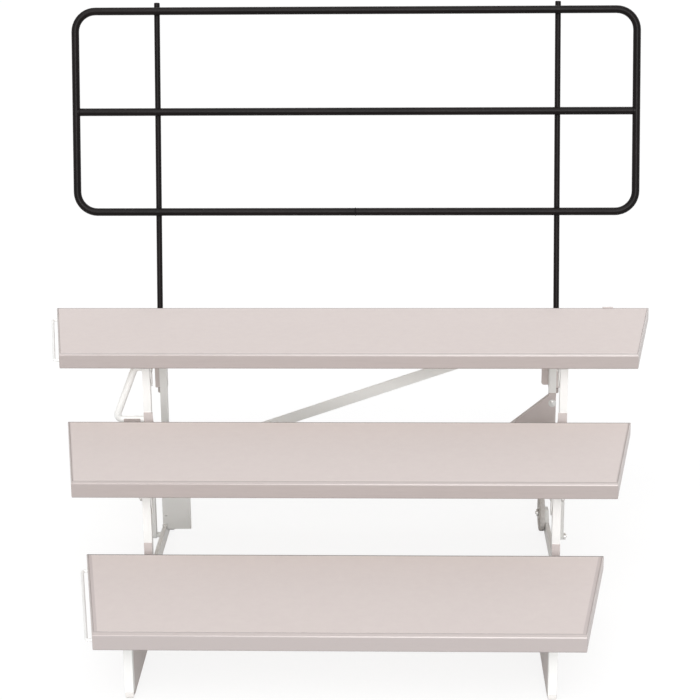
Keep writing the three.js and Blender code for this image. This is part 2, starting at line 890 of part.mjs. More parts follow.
// Guard rail: posts that lean back, a bent hoop and a middle bar in front of them
const railLeanShare = 12 / 180;
const postOffset = 13;
const postHalf = topLegHalf + postOffset;
const postRadius = 9;
const postWall = 1.5;
const postSetback = 82;
const postBottom = 340;
const postTop = 1524;
const railRadius = 12;
const railWall = 1.5;
const railEndInset = 55;
const railHalf = topDeckBackWidth / 2 - railEndInset;
const railShift = -5.5;
const railLowZ = 893.5;
const railSpacing = 303;
const railBend = 63;
const weldGap = 0.3;
const capHeight = 4;
const roundSides = 12;
const lean = railLeanShare * Math.PI;
const rail = new THREE.Group();
rail.position.set(0, rearLegY + postSetback, levelTops[2]);
rail.rotation.x = -lean;
frames.add(rail);

// Heights above the floor turned into places along the leaning posts
const along = (z) => (z - levelTops[2]) / Math.cos(lean);
const barY = -postRadius - railRadius - seat;
const postSolid = join([
  raised(ring(postRadius, postWall, roundSides), along(postBottom), along(postTop)),
  raised(ring(postRadius, 0, roundSides), along(postTop) - capHeight, along(postTop)),
]);
for (const [name, side] of sides) {
  place(rail, `${name}_rail_post`, postSolid, railFinish, side * postHalf, 0, 0);
}

const lowBar = along(railLowZ);
const midBar = along(railLowZ + railSpacing);
const topBar = along(railLowZ + railSpacing * 2);
const hoop = bentTube(
  [
    [weldGap, barY, lowBar],
    [railHalf, barY, lowBar],
    [railHalf, barY, topBar],
    [-railHalf, barY, topBar],
    [-railHalf, barY, lowBar],
    [0, barY, lowBar],
  ],
  railBend,
  6,
  railRadius,
  railWall,
  roundSides,
);
place(rail, 'rail_hoop', hoop, railFinish, railShift);

// The middle bar is coped to fit round the uprights of the hoop
const openTube = (() => {
  const geometry = plainExtrude(ring(railRadius, railWall, roundSides), railHalf * 2);
  geometry.rotateY(Math.PI / 2);
  geometry.translate(-railHalf, barY, midBar);
  return solidOf(geometry);
})();
const copes = sides.map(([, side]) => {
  const geometry = new THREE.CylinderGeometry(
    railRadius + seat * 2,
    railRadius + seat * 2,
    railRadius * 4,
    holeSides,
  );
  geometry.rotateX(Math.PI / 2);
  geometry.translate(side * railHalf, barY, midBar);
  return solidOf(geometry);
});
const copedBar = cut(openTube, copes);
place(rail, 'rail_middle_bar', copedBar, railFinish, railShift);

// Sockets on the back of the rear legs: a leaning sleeve, a web and a mounting plate
const socketLow = 355;
const socketHigh = 500;
const socketHalf = 15;
const boreGap = 0.6;
const socketBore = postRadius + boreGap;
const socketWeb = 6;
const knobZ = 430;
const stemRadius = 4;
const legBack = halfTube + seat - postSetback;
function leaned(solid) {
  return solid.rotate([(-lean * 180) / Math.PI, 0, 0]);
}
function railSocket(side) {
  const sleeve = leaned(
    boxBetween(
      [-socketHalf, -socketHalf, along(socketLow)],
      [socketHalf, socketHalf, along(socketHigh)],
    ),
  );
  const low = socketLow - levelTops[2];
  const high = socketHigh - levelTops[2];
  const web = alongX(
    outline([
      [legBack, low + socketWeb],
      [low * Math.tan(lean), low + socketWeb],
      [high * Math.tan(lean), high - socketWeb],
      [legBack, high - socketWeb],
    ]),
    -socketWeb / 2,
    socketWeb / 2,
  );
  const [from, to] = mirrored(side, -postOffset - halfTube, socketHalf);
  const plate = boxBetween([from, legBack, low + socketWeb], [to, legBack + sheet, high - socketWeb]);
  const boreGeometry = new THREE.CylinderGeometry(socketBore, socketBore, socketHigh, holeSides);
  boreGeometry.rotateX(Math.PI / 2);
  boreGeometry.translate(0, 0, along(knobZ));
  const stemGeometry = new THREE.CylinderGeometry(stemRadius + seat, stemRadius + seat, socketHalf * 2, studSides);
  stemGeometry.translate(0, socketHalf, along(knobZ));
  return cut(join([sleeve, web, plate]), [leaned(solidOf(boreGeometry)), leaned(solidOf(stemGeometry))]);
}

// Star knob with its clamping stem
const knobRadius = 19;
const knobLobe = 3;
const knobDepth = 14;
const knobNeck = 6;
const knobLobes = 5;
const stemGap = 0.4;
function clampKnob() {
  const steps = knobLobes * 8;
  const star = new THREE.Shape(
    Array.from({ length: steps }, (_, step) => {
      const angle = (Math.PI * 2 * step) / steps;
      const reach = knobRadius - knobLobe + knobLobe * Math.cos(angle * knobLobes);
      return new THREE.Vector2(Math.cos(angle) * reach, Math.sin(angle) * reach);
    }),
  );
  const faceY = socketHalf + knobNeck;
  const stem = new THREE.CylinderGeometry(stemRadius, stemRadius, faceY - postRadius - stemGap + overrun, studSides);
  stem.translate(0, (faceY + overrun + postRadius + stemGap) / 2, 0);
  return join([alongY(star, faceY, faceY + knobDepth), solidOf(stem)]);
}
for (const [name, side] of sides) {
  const socket = place(frames, `${name}_rail_socket`, railSocket(side), plateFinish);
  socket.position.set(side * postHalf, rearLegY + postSetback, levelTops[2]);
  place(rail, `${name}_clamp_knob`, clampKnob(), railFinish, side * postHalf, 0, along(knobZ));
}

// The origin is on the floor, below the middle of the whole riser
riser.updateMatrixWorld(true);
const bounds = new THREE.Box3().setFromObject(riser, true);
const middle = bounds.getCenter(new THREE.Vector3());
riser.position.set(-middle.x, -middle.y, -bounds.min.z);

const part = new THREE.Group();
part.add(riser);
part.updateMatrixWorld(true);
export default part;
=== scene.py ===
import json
from math import atan2, cos, pi, radians, sin, tan
import bmesh
import bpy
from mathutils import Matrix, Vector


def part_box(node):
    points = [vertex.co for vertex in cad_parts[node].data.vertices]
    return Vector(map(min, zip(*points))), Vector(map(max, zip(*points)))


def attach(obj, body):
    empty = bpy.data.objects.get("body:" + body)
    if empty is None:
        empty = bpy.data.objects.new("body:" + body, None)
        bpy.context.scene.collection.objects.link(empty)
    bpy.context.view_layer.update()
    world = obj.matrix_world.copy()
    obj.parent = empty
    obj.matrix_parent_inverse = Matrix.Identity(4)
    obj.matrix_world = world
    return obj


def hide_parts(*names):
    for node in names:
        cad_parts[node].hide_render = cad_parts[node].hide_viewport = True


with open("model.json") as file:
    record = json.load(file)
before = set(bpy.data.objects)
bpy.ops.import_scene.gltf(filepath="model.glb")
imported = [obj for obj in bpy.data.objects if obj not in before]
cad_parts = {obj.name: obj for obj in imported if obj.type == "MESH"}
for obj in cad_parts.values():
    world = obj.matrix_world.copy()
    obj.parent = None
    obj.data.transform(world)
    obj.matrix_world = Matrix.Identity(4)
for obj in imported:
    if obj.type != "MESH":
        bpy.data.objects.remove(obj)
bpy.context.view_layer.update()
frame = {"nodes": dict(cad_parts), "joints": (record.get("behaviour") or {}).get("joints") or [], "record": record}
nodes = frame["nodes"]
joints = {joint["name"]: joint for joint in frame["joints"]}
bodyOf = {
    node: body
    for body, members in frame["record"]["behaviour"]["bodies"].items()
    for node in members
}
slotOf = {part["node"]: part["material_slot"] for part in frame["record"]["subparts"]}
print("frame loaded:", len(nodes), "nodes")


def middleOf(node):
    low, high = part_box(node)
    return (low + high) / 2


# where the three decks lie
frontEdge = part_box("front_deck_trim")[0].y
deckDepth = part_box("middle_deck_trim")[0].y - frontEdge
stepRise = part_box("front_deck_trim")[1].z
deckCentre = middleOf("top_deck_trim").x
sideAngle = radians(11.25)

# where each deck starts, and how much further out its side lies than the one before it
deckStarts = []
deckWidths = []
for trim in ("front_deck_trim", "middle_deck_trim", "top_deck_trim"):
    low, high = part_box(trim)
    deckStarts.append(low.y - 0.001)
    deckWidths.append((high.x - low.x) / 2 - sum(deckWidths))
lift = joints["guard_rail_lift"]["axis"]
lean = atan2(lift[1], lift[2])


# camera, as the photograph sees the riser
shot = {
    "focalLength": 90.0,
    "sensorWidth": 36.0,
    "place": (0.1428, -4.6230, 2.2223),
    "pitch": 16.347,
    "yaw": 1.596,
    "roll": -0.477,
    "shiftUp": -0.1,
}


def addCamera():
    data = bpy.data.cameras.new("photoCamera")
    data.lens = shot["focalLength"]
    data.sensor_width = shot["sensorWidth"]
    data.shift_y = shot["shiftUp"]
    data.clip_end = 200
    camera = bpy.data.objects.new("photoCamera", data)
    turn = Matrix.Rotation(radians(shot["yaw"]), 4, "Z")
    tilt = Matrix.Rotation(radians(90 - shot["pitch"]), 4, "X")
    roll = Matrix.Rotation(radians(shot["roll"]), 4, "Z")
    camera.matrix_world = Matrix.Translation(shot["place"]) @ turn @ tilt @ roll
    bpy.context.scene.collection.objects.link(camera)
    bpy.context.scene.camera = camera


addCamera()
print("camera placed")


# shader sums written as Python: a Value is a socket, and a Paint is one material
class Value:
    def __init__(self, paint, socket):
        self.paint = paint
        self.socket = socket

    def sum(self, operation, first, second=0.0):
        return self.paint.add("Math", {"operation": operation}, {0: first, 1: second})

    def __add__(self, other):
        return self.sum("ADD", self, other)

    def __mul__(self, other):
        return self.sum("MULTIPLY", self, other)

    def __sub__(self, other):
        return self.sum("SUBTRACT", self, other)

    def __rsub__(self, other):
        return self.sum("SUBTRACT", other, self)

    def __truediv__(self, other):
        return self.sum("DIVIDE", self, other)

    __radd__ = __add__
    __rmul__ = __mul__


class Paint:
    def __init__(self, name, **base):
        self.material = bpy.data.materials.new(name)
        self.material.use_nodes = True
        self.tree = self.material.node_tree
        self.shader = self.tree.nodes["Principled BSDF"]
        for socket, value in base.items():
            self.feed(self.shader.inputs[socket.replace("_", " ")], value)
        self.place = self.add("TexCoord", output="Object")

    def feed(self, socket, value):
        if isinstance(value, Value):
            self.tree.links.new(value.socket, socket)
        else:
            socket.default_value = value

    # a node of any kind; its settings come before its sockets
    def add(self, kind, settings=None, sockets=None, output=0):
        node = self.tree.nodes.new("ShaderNode" + kind)
        for name, value in (settings or {}).items():
            setattr(node, name, value)
        for name, value in (sockets or {}).items():
            self.feed(node.inputs[name], value)
        return Value(self, node.outputs[output])

    def along(self, axis):
        return self.add("SeparateXYZ", {}, {0: self.place}, axis)

    # object coordinates, stretched along each axis
    def stretched(self, x=1.0, y=1.0, z=1.0):
        return self.add("Mapping", {}, {"Vector": self.place, "Scale": (x, y, z)})

    def noise(self, scale, detail=3.0, roughness=0.5, place=None):
        sockets = {"Vector": place or self.place, "Scale": scale, "Detail": detail}
        sockets["Roughness"] = roughness
        return self.add("TexNoise", {}, sockets, "Fac")

    def cells(self, scale, output="Distance"):
        sockets = {"Vector": self.place, "Scale": scale}
        return self.add("TexVoronoi", {"feature": "F1"}, sockets, output)

    # 0 below the low value, 1 above the high one
    def between(self, value, low, high):
        sockets = {"Value": value, "From Min": low, "From Max": high}
        return self.add("MapRange", {"clamp": True}, sockets)

    # the middle part of a pattern, spread from 0 to 1
    def spread(self, pattern):
        return self.between(pattern, 0.3, 0.7)

    def mixed(self, share, first, second):
        sockets = {"Factor": share, 6: first, 7: second}
        return self.add("Mix", {"data_type": "RGBA"}, sockets, 2)

    def colour(self, value):
        self.feed(self.shader.inputs["Base Color"], value)

    def rough(self, value):
        self.feed(self.shader.inputs["Roughness"], value)

    def bump(self, height, strength, distance):
        sockets = {"Height": height, "Strength": strength, "Distance": distance}
        self.feed(self.shader.inputs["Normal"], self.add("Bump", {}, sockets))


# a colour written as the photograph shows it, 0 to 255, made linear
def seen(red, green, blue):
    linear = [((c / 255 + 0.055) / 1.055) ** 2.4 for c in (red, green, blue)]
    return (*linear, 1.0)


# how far a place lies behind the nosing of its deck
def depthOnDeck(paint):
    behind = paint.along("Y") - frontEdge
    return behind.sum("FLOORED_MODULO", behind, deckDepth)


# a value for each deck, given as what each one adds to the one before it
def steppedByDeck(paint, steps):
    back = paint.along("Y")
    value = 0.0
    for start, step in zip(deckStarts, steps):
        value = back.sum("GREATER_THAN", back, start) * step + value
    return value


# how far a place lies inside the slanting side of its deck
def insetOnDeck(paint):
    offCentre = paint.along("X") - deckCentre
    offCentre = offCentre.sum("ABSOLUTE", offCentre)
    slant = (deckDepth - depthOnDeck(paint)) * tan(sideAngle)
    return steppedByDeck(paint, deckWidths) - slant - offCentre


covering = {
    "ground": seen(222, 211, 208),
    "cream": seen(224, 214, 210),
    "pink": seen(219, 208, 205),
    "patchScale": 38,
    "patchRoughness": 0.75,
    "grainScale": 1300,
    "grainShare": 0.7,
    "hem": seen(202, 191, 189),
    "hemWidths": (0.0135, -0.0055, -0.0035),
    "hemEdge": 0.0012,
    "hemShare": 0.85,
    "roughness": 0.74,
    "grainRough": 0.1,
    "bump": (0.4, 0.0004),
}


# a finely speckled sheet with a darker hem along its slanting sides
def deckCovering():
    paint = Paint("deckCovering", Specular_IOR_Level=0.25)
    patches = paint.noise(covering["patchScale"], 6.0, covering["patchRoughness"])
    warm = paint.mixed(paint.spread(patches), covering["cream"], covering["pink"])
    grain = paint.noise(covering["grainScale"] * 1.6, 2.0)
    grains = paint.spread(grain) * covering["grainShare"]
    ground = paint.mixed(grains, warm, covering["ground"])
    insideHem = insetOnDeck(paint) - steppedByDeck(paint, covering["hemWidths"])
    onHem = paint.between(insideHem, covering["hemEdge"], -covering["hemEdge"])
    paint.colour(paint.mixed(onHem * covering["hemShare"], ground, covering["hem"]))
    paint.rough(paint.between(grain, 0.0, 1.0) * covering["grainRough"] + covering["roughness"])
    cells = paint.cells(covering["grainScale"])
    paint.bump(1.0 - cells + grain * 0.4, *covering["bump"])
    return paint.material


trimCoat = {
    "face": seen(174, 164, 161),
    "shade": seen(170, 160, 157),
    # painted light: the front deck's trim is painted paler than the other two
    "frontFace": seen(180, 171, 169),
    # painted light: the trim's side faces and the outer edge of its top are painted paler, where the lamps reach
    # them less
    "side": seen(206, 197, 194),
    "streakStretch": (14, 240, 240),
    # painted light: the top of the nosing is painted paler than its front face, as light from above
    "lip": seen(205, 194, 191),
    "ribSpacing": 0.004,
    "ribZone": 0.0165,
    # painted highlight: the rounded nose of the trim is painted pale, strongest towards the right
    "rubbed": seen(232, 223, 220),
    "noseWidth": 0.0028,
    "rubStarts": -0.45,
    "rubWhole": 0.25,
    "rubLeast": 0.4,
    "rubDrift": 0.25,
    "driftStretch": (2.3, 0.1, 0.1),
    # painted shade: a dark colour for the foot of the band and the gaps along the back and side rims
    "dirt": seen(96, 90, 88),
    "mostDirt": 0.9,
    "hemHeight": 0.0375,
    "hemDirt": 0.25,
    "backRim": 0.4507,
    "backDirt": 0.85,
    "sideRim": 0.0052,
    "sideDirt": 0.1,
    "roughness": 0.44,
    "bump": (0.5, 0.0005),
}


# the nosing has a ribbed lip, painted paler than the band as painted light from above, and an edge with a painted
# highlight that grows towards the right;
# the front deck's trim and the side rims are painted paler as painted light, and the hem and the back and side
# rims are painted darker as painted shade
def deckTrimCoat():
    paint = Paint("deckTrimCoat", Coat_Weight=0.1)
    depth = depthOnDeck(paint)
    height = paint.along("Z")
    below = stepRise - height.sum("FLOORED_MODULO", height - 0.0005, stepRise)
    onTop = paint.between(below, 0.002, 0.0012)
    fromSide = insetOnDeck(paint)

    streaks = paint.noise(1.0, 4.0, 0.6, paint.stretched(*trimCoat["streakStretch"]))
    coat = paint.mixed(paint.spread(streaks), trimCoat["face"], trimCoat["shade"])
    # the lowest deck's trim takes the paler colour, as painted light
    onFront = paint.between(height, stepRise + 0.01, stepRise)
    coat = paint.mixed(onFront, coat, trimCoat["frontFace"])
    # the side faces and the outer rim of the top take the paler side colour, as painted light
    sideLightMask = paint.between(fromSide, trimCoat["sideRim"], 0.001)
    sideLightMask = sideLightMask * paint.between(depth, 0.003, 0.006)
    coat = paint.mixed(sideLightMask, coat, trimCoat["side"])
    # the lip on top of the nosing is painted paler than the band, as painted light from above
    onLip = paint.between(depth, trimCoat["ribZone"], trimCoat["ribZone"] - 0.001) * onTop
    coat = paint.mixed(onLip, coat, trimCoat["lip"])

    # painted shade at the foot of the band and in the gaps at the back and side rims of the top
    hem, back, side = trimCoat["hemHeight"], trimCoat["backRim"], trimCoat["sideRim"]
    dirt = paint.between(below, hem, hem + 0.003) * trimCoat["hemDirt"]
    dirt = dirt + paint.between(depth, back, back + 0.001) * onTop * trimCoat["backDirt"]
    dirt = dirt + paint.between(fromSide, side, side - 0.001) * onTop * trimCoat["sideDirt"]
    dirt = dirt.sum("MINIMUM", dirt, trimCoat["mostDirt"])
    coat = paint.mixed(dirt, coat, trimCoat["dirt"])

    # a painted highlight along the nose, fading in from the left and drifting in strength
    far, near = trimCoat["noseWidth"] * 1.6, trimCoat["noseWidth"] * 0.6
    onNose = paint.between(depth, far, near) * paint.between(below, far, near)
    drift = paint.noise(1.0, 2.0, 0.5, paint.stretched(*trimCoat["driftStretch"]))
    highlightStrength = paint.between(drift, 0.25, 0.6) * trimCoat["rubDrift"] + trimCoat["rubLeast"]
    toRight = paint.between(paint.along("X"), trimCoat["rubStarts"], trimCoat["rubWhole"])
    highlight = onNose * toRight * highlightStrength
    paint.colour(paint.mixed(highlight, coat, trimCoat["rubbed"]))
    paint.rough(streaks * 0.12 + trimCoat["roughness"] - highlight * 0.15)
    spacing = trimCoat["ribSpacing"]
    ribs = depth.sum("PINGPONG", depth, spacing / 2) / spacing
    paint.bump(streaks * 0.1 + ribs * onLip, *trimCoat["bump"])
    return paint.material


powder = {"peel": 0.14, "peelHeight": 0.0003, "driftScale": 7}


def powderCoat(name, face, shade, roughness, grain=650, strength=0.12, gloss=0.5, coat=0.1):
    paint = Paint(name, Coat_Weight=coat, Specular_IOR_Level=gloss)
    peel = paint.noise(grain, 2.0)
    drift = paint.noise(powder["driftScale"], 3.0)
    paint.colour(paint.mixed(paint.spread(drift), face, shade))
    paint.rough(peel * powder["peel"] + roughness)
    paint.bump(peel, strength, powder["peelHeight"])
    return paint.material


mould = {"grainScale": 1100, "grain": 0.15, "dustScale": 26, "bump": (0.2, 0.0002)}


def moulded(name, face, shade, roughness):
    paint = Paint(name)
    grain = paint.noise(mould["grainScale"], 3.0, 0.6)
    dust = paint.noise(mould["dustScale"], 4.0, 0.65)
    paint.colour(paint.mixed(paint.between(dust, 0.4, 0.75), face, shade))
    paint.rough(grain * mould["grain"] + roughness)
    paint.bump(grain, *mould["bump"])
    return paint.material


zinc = {
    "pale": seen(222, 221, 219),
    "dark": seen(206, 205, 202),
    "spangleScale": 420,
    "grainScale": 500,
    "roughness": 0.3,
    "bump": (0.06, 0.0002),
}


def zincPlate():
    paint = Paint("zincPlate", Metallic=0.85)
    spangle = paint.cells(zinc["spangleScale"], "Color")
    grey = paint.add("RGBToBW", {}, {"Color": spangle})
    paint.colour(paint.mixed(grey * 0.5, zinc["pale"], zinc["dark"]))
    paint.rough(grey * 0.15 + zinc["roughness"])
    paint.bump(paint.noise(zinc["grainScale"], 2.0), *zinc["bump"])
    return paint.material


plywood = {
    "pale": seen(224, 207, 184),
    "dark": seen(207, 187, 160),
    "grainStretch": (1.6, 60, 60),
    "figureStretch": (0.8, 7, 7),
    "grainShare": 0.6,
    "roughness": 0.45,
    "bump": (0.15, 0.0003),
}


def plywoodPanel():
    paint = Paint("plywoodPanel", Coat_Weight=0.2)
    grain = paint.noise(1.0, 6.0, 0.6, paint.stretched(*plywood["grainStretch"]))
    figure = paint.noise(1.0, 3.0, 0.5, paint.stretched(*plywood["figureStretch"]))
    veneer = grain * plywood["grainShare"] + figure * (1 - plywood["grainShare"])
    dark = paint.between(veneer, 0.35, 0.65)
    paint.colour(paint.mixed(dark, plywood["pale"], plywood["dark"]))
    paint.rough(grain * 0.2 + plywood["roughness"])
    paint.bump(grain, *plywood["bump"])
    return paint.material


# each finish has two colours, which drift into each other, and a roughness
railGloss = {"grain": 480, "strength": 0.06, "gloss": 0.12, "coat": 0.0}
finishes = {
    "deck_covering": deckCovering(),
    "deck_trim": deckTrimCoat(),
    "deck_core": plywoodPanel(),
    "frame_paint": powderCoat("framePaint", seen(245, 245, 243), seen(239, 239, 237), 0.36),
    "dark_steel": powderCoat("darkSteel", seen(212, 202, 199), seen(203, 193, 190), 0.45),
    "rail_paint": powderCoat("railPaint", seen(12, 9, 9), seen(22, 16, 16), 0.3, **railGloss),
    "knob_plastic": moulded("knobPlastic", seen(30, 28, 28), seen(40, 37, 36), 0.42),
    "foot_rubber": moulded("footRubber", seen(232, 229, 226), seen(222, 218, 215), 0.55),
    # a darker rubber for the boots below the posts, also used for the loop's pad, which is painted shade
    "pad_rubber": moulded("padRubber", seen(186, 176, 172), seen(172, 162, 158), 0.62),
    "wheel_tyre": moulded("wheelTyre", seen(222, 219, 216), seen(205, 201, 198), 0.66),
    "wheel_hub": moulded("wheelHub", seen(236, 234, 231), seen(224, 222, 218), 0.4),
    "bolt_plate": zincPlate(),
}
print("finishes mixed:", len(finishes))


# a finished mesh becomes a piece that rides on a body
def addPiece(name, mesh, body, finish, smooth=True):
    piece = bpy.data.objects.new(name, mesh)
    bpy.context.scene.collection.objects.link(piece)
    for polygon in mesh.polygons:
        polygon.use_smooth = smooth
    mesh.materials.clear()
    mesh.materials.append(finishes[finish])
    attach(piece, body)
    return piece


def meshFrom(bm, name):
    bmesh.ops.recalc_face_normals(bm, faces=bm.faces)
    mesh = bpy.data.meshes.new(name)
    bm.to_mesh(mesh)
    bm.free()
    return mesh


def camel(node):
    first, *rest = node.split("_")
    return first + "".join(word.capitalize() for word in rest)


# a CAD node's triangles, merged into whole faces
def mergedCopy(node):
    bm = bmesh.new()
    bm.from_mesh(nodes[node].data)
    bmesh.ops.remove_doubles(bm, verts=bm.verts, dist=1e-6)
    bmesh.ops.dissolve_limit(bm, angle_limit=radians(1), verts=bm.verts, edges=bm.edges)
    return bm


def sharpEdges(bm, degrees=40):
    return [e for e in bm.edges if e.is_manifold and e.calc_face_angle(0.0) > radians(degrees)]


def bevelEdges(bm, edges, offset, segments=2):
    bmesh.ops.bevel(
        bm,
        geom=edges,
        offset=offset,
        offset_type="OFFSET",
        affect="EDGES",
        segments=segments,
        profile=0.5,
        material=-1,
        clamp_overlap=True,
    )


# flat faces keep their own shading, and only the eased edges between them are rounded
def evenFaces(piece, weight=60):
    piece.modifiers.new("evenFaces", "WEIGHTED_NORMAL").weight = weight


# solids that keep their shape: their sharp edges are eased as coated metal is
edging = {
    "deck_covering": 0.0008,
    "deck_trim": 0.0006,
    "frame_paint": 0.0007,
    "dark_steel": 0.0006,
    "rail_paint": 0.0005,
    "knob_plastic": 0.0012,
    "foot_rubber": 0.001,
    "wheel_tyre": 0.001,
    "wheel_hub": 0.0008,
}


def easeEdges(node):
    slot = slotOf[node]
    bm = mergedCopy(node)
    bevelEdges(bm, sharpEdges(bm), edging[slot])
    piece = addPiece(camel(node), meshFrom(bm, camel(node)), bodyOf[node], slot)
    evenFaces(piece, 100)
    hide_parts(node)


board = {"sheet": 0.0024, "ease": 0.0006}


# a deck board is a plywood core with its covering glued on top
def splitBoard(node):
    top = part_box(node)[1].z
    layers = (("Covering", "deck_covering", True), ("Core", "deck_core", False))
    for name, finish, keepsTop in layers:
        bm = mergedCopy(node)
        split = bmesh.ops.bisect_plane(
            bm,
            geom=bm.verts[:] + bm.edges[:] + bm.faces[:],
            plane_co=(0, 0, top - board["sheet"]),
            plane_no=(0, 0, 1),
            clear_inner=keepsTop,
            clear_outer=not keepsTop,
        )
        rim = [e for e in split["geom_cut"] if isinstance(e, bmesh.types.BMEdge)]
        bmesh.ops.holes_fill(bm, edges=rim)
        bevelEdges(bm, sharpEdges(bm), board["ease"])
        mesh = meshFrom(bm, camel(node) + name)
        piece = addPiece(camel(node) + name, mesh, bodyOf[node], finish)
        evenFaces(piece, 100)
        if keepsTop:
            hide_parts(node)


boards = {node for node in nodes if node.endswith("_deck_board")}
tubes = {"left_rail_post", "right_rail_post", "rail_hoop", "rail_middle_bar"}
tubes |= {"left_leg_loop", "front_end_bar", "top_end_bar"}
tyres = {"left_wheel_tyre", "right_wheel_tyre"}
feet = {"left_front_glide", "right_front_glide", "left_rear_foot", "right_rear_foot"}
for node in sorted(boards):
    splitBoard(node)
remade = boards | tubes | tyres | feet
for node in sorted(set(nodes) - remade):
    easeEdges(node)
print("edges eased:", len(nodes) - len(remade))


# a curve's surface as a mesh of its own
def meshOfCurve(curve, name):
    holder = bpy.data.objects.new(name, curve)
    bpy.context.scene.collection.objects.link(holder)
    graph = bpy.context.evaluated_depsgraph_get()
    mesh = bpy.data.meshes.new_from_object(holder.evaluated_get(graph))
    bpy.data.objects.remove(holder)
    bpy.data.curves.remove(curve)
    return mesh


def roundCurve(name, radius, roundness):
    curve = bpy.data.curves.new(name, "CURVE")
    curve.dimensions = "3D"
    curve.bevel_depth = radius
    curve.bevel_resolution = roundness
    curve.resolution_u = 10
    curve.use_fill_caps = True
    return curve


# a bent tube through its corners, each turned on a round bend; a straight run has its
# handles a third of the way along
def bendTube(node, corners, bend, radius, closed=False):
    third = 0.33
    curve = roundCurve(camel(node), radius, 5)
    knots = []
    count = len(corners)
    for index, corner in enumerate(corners):
        if not closed and index in (0, count - 1):
            knots.append((corner, None))
            continue
        back = (corners[index - 1] - corner).normalized()
        ahead = (corners[(index + 1) % count] - corner).normalized()
        turn = pi - back.angle(ahead)
        reach = bend * tan(turn / 2)
        grip = bend * tan(turn / 4) * 4 / 3
        knots.append((corner + back * reach, -back * grip))
        knots.append((corner + ahead * reach, ahead * grip))
    spline = curve.splines.new("BEZIER")
    spline.bezier_points.add(len(knots) - 1)
    spline.use_cyclic_u = closed
    for index, (place, grip) in enumerate(knots):
        knot = spline.bezier_points[index]
        knot.co = place
        knot.handle_left_type = knot.handle_right_type = "FREE"
        near = knots[index - 1][0]
        far = knots[(index + 1) % len(knots)][0]
        entering = grip is not None and (index % 2 == (0 if closed else 1))
        knot.handle_left = place - grip if grip and not entering else place.lerp(near, third)
        knot.handle_right = place + grip if grip and entering else place.lerp(far, third)
    mesh = meshOfCurve(curve, camel(node))
    piece = addPiece(camel(node), mesh, bodyOf[node], slotOf[node])
    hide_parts(node)


rail = {
    "tube": 0.012,
    "post": 0.009,
    "bend": 0.063,
    "barInset": 0.0036,
    "weldAcross": 0.0062,
    "weldAlong": 0.0068,
    "weldInset": 0.0108,
}
loop = {"tube": 0.0105, "bend": 0.015, "lowReach": 0.085, "highReach": 0.022, "gap": 0.0003}
endBar = {"tube": 0.004, "bend": 0.008, "stand": 0.014}
halfTube = 0.011
acrossX, acrossY, acrossZ = Vector((1, 0, 0)), Vector((0, 1, 0)), Vector((0, 0, 1))
upPost = Vector((0, sin(lean), cos(lean)))
outOfRail = Vector((0, -cos(lean), sin(lean)))
sides = (("left", -1), ("right", 1))


def railFrame():
    low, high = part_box("rail_hoop")
    centre = (low + high) / 2
    halfWide = acrossX * ((high.x - low.x) / 2 - rail["tube"])
    halfTall = upPost * ((high.z - low.z) / 2 - rail["tube"]) / cos(lean)
    return centre, halfWide, halfTall


hoopCentre, hoopWide, hoopTall = railFrame()
corners = [(1, -1), (1, 1), (-1, 1), (-1, -1)]
corners = [hoopCentre + hoopWide * x + hoopTall * z for x, z in corners]
bendTube("rail_hoop", corners, rail["bend"], rail["tube"], True)
barHalf = hoopWide - acrossX * rail["barInset"]
barEnds = [hoopCentre - barHalf, hoopCentre + barHalf]
bendTube("rail_middle_bar", barEnds, rail["bend"], rail["tube"])


def postEnds(side):
    low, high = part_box(f"{side}_rail_post")
    half = upPost * ((high.z - low.z) / 2 - rail["post"] * sin(lean)) / cos(lean)
    return (low + high) / 2 - half, (low + high) / 2 + half


for name, side in sides:
    bendTube(f"{name}_rail_post", list(postEnds(name)), rail["bend"], rail["post"])


def loopCorners():
    leg = middleOf("left_top_leg")
    low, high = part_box("left_leg_loop")
    face = leg.x - halfTube
    down = low.z + loop["tube"]
    up = high.z - loop["tube"]
    reaches = [(loop["gap"], down), (loop["lowReach"], down)]
    reaches += [(loop["highReach"], up), (loop["gap"], up)]
    return [Vector((face - reach, leg.y, z)) for reach, z in reaches]


# a stand-off bar follows the slanting side of its deck
def endBarCorners(level):
    low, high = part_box(f"{level}_end_bar")
    trimLow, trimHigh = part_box(f"{level}_deck_trim")
    stand = Vector((-cos(sideAngle), -sin(sideAngle), 0)) * endBar["stand"]

    def sideLightMask(y):
        return Vector((trimLow.x + (trimHigh.y - y) * tan(sideAngle), y, (low.z + high.z) / 2))

    near = sideLightMask(low.y + endBar["tube"] - stand.y)
    far = sideLightMask(high.y - endBar["tube"])
    return [near, near + stand, far + stand, far]


bendTube("left_leg_loop", loopCorners(), loop["bend"], loop["tube"])
for level in ("front", "top"):
    bendTube(f"{level}_end_bar", endBarCorners(level), endBar["bend"], endBar["tube"])
print("tubes bent:", len(tubes))


# parts turned about an axis; six steps make a hexagon, four make a square
def turned(profile, steps, place, axis):
    bm = bmesh.new()
    points = [bm.verts.new((radius, 0, height)) for radius, height in profile]
    lines = [bm.edges.new(pair) for pair in zip(points, points[1:])]
    whole = {"axis": acrossZ, "cent": (0, 0, 0), "angle": 2 * pi, "use_merge": True}
    bmesh.ops.spin(bm, geom=points + lines, steps=steps, **whole)
    bmesh.ops.remove_doubles(bm, verts=bm.verts, dist=1e-6)
    bmesh.ops.recalc_face_normals(bm, faces=bm.faces)
    turn = Vector(axis).to_track_quat("Z", "Y").to_matrix().to_4x4()
    bmesh.ops.transform(bm, matrix=Matrix.Translation(place) @ turn, verts=bm.verts)
    return bm


def joinTo(whole, part):
    mesh = meshFrom(part, "part")
    whole.from_mesh(mesh)
    bpy.data.meshes.remove(mesh)


# small parts of one body and finish are gathered in one mesh
gathered = {}


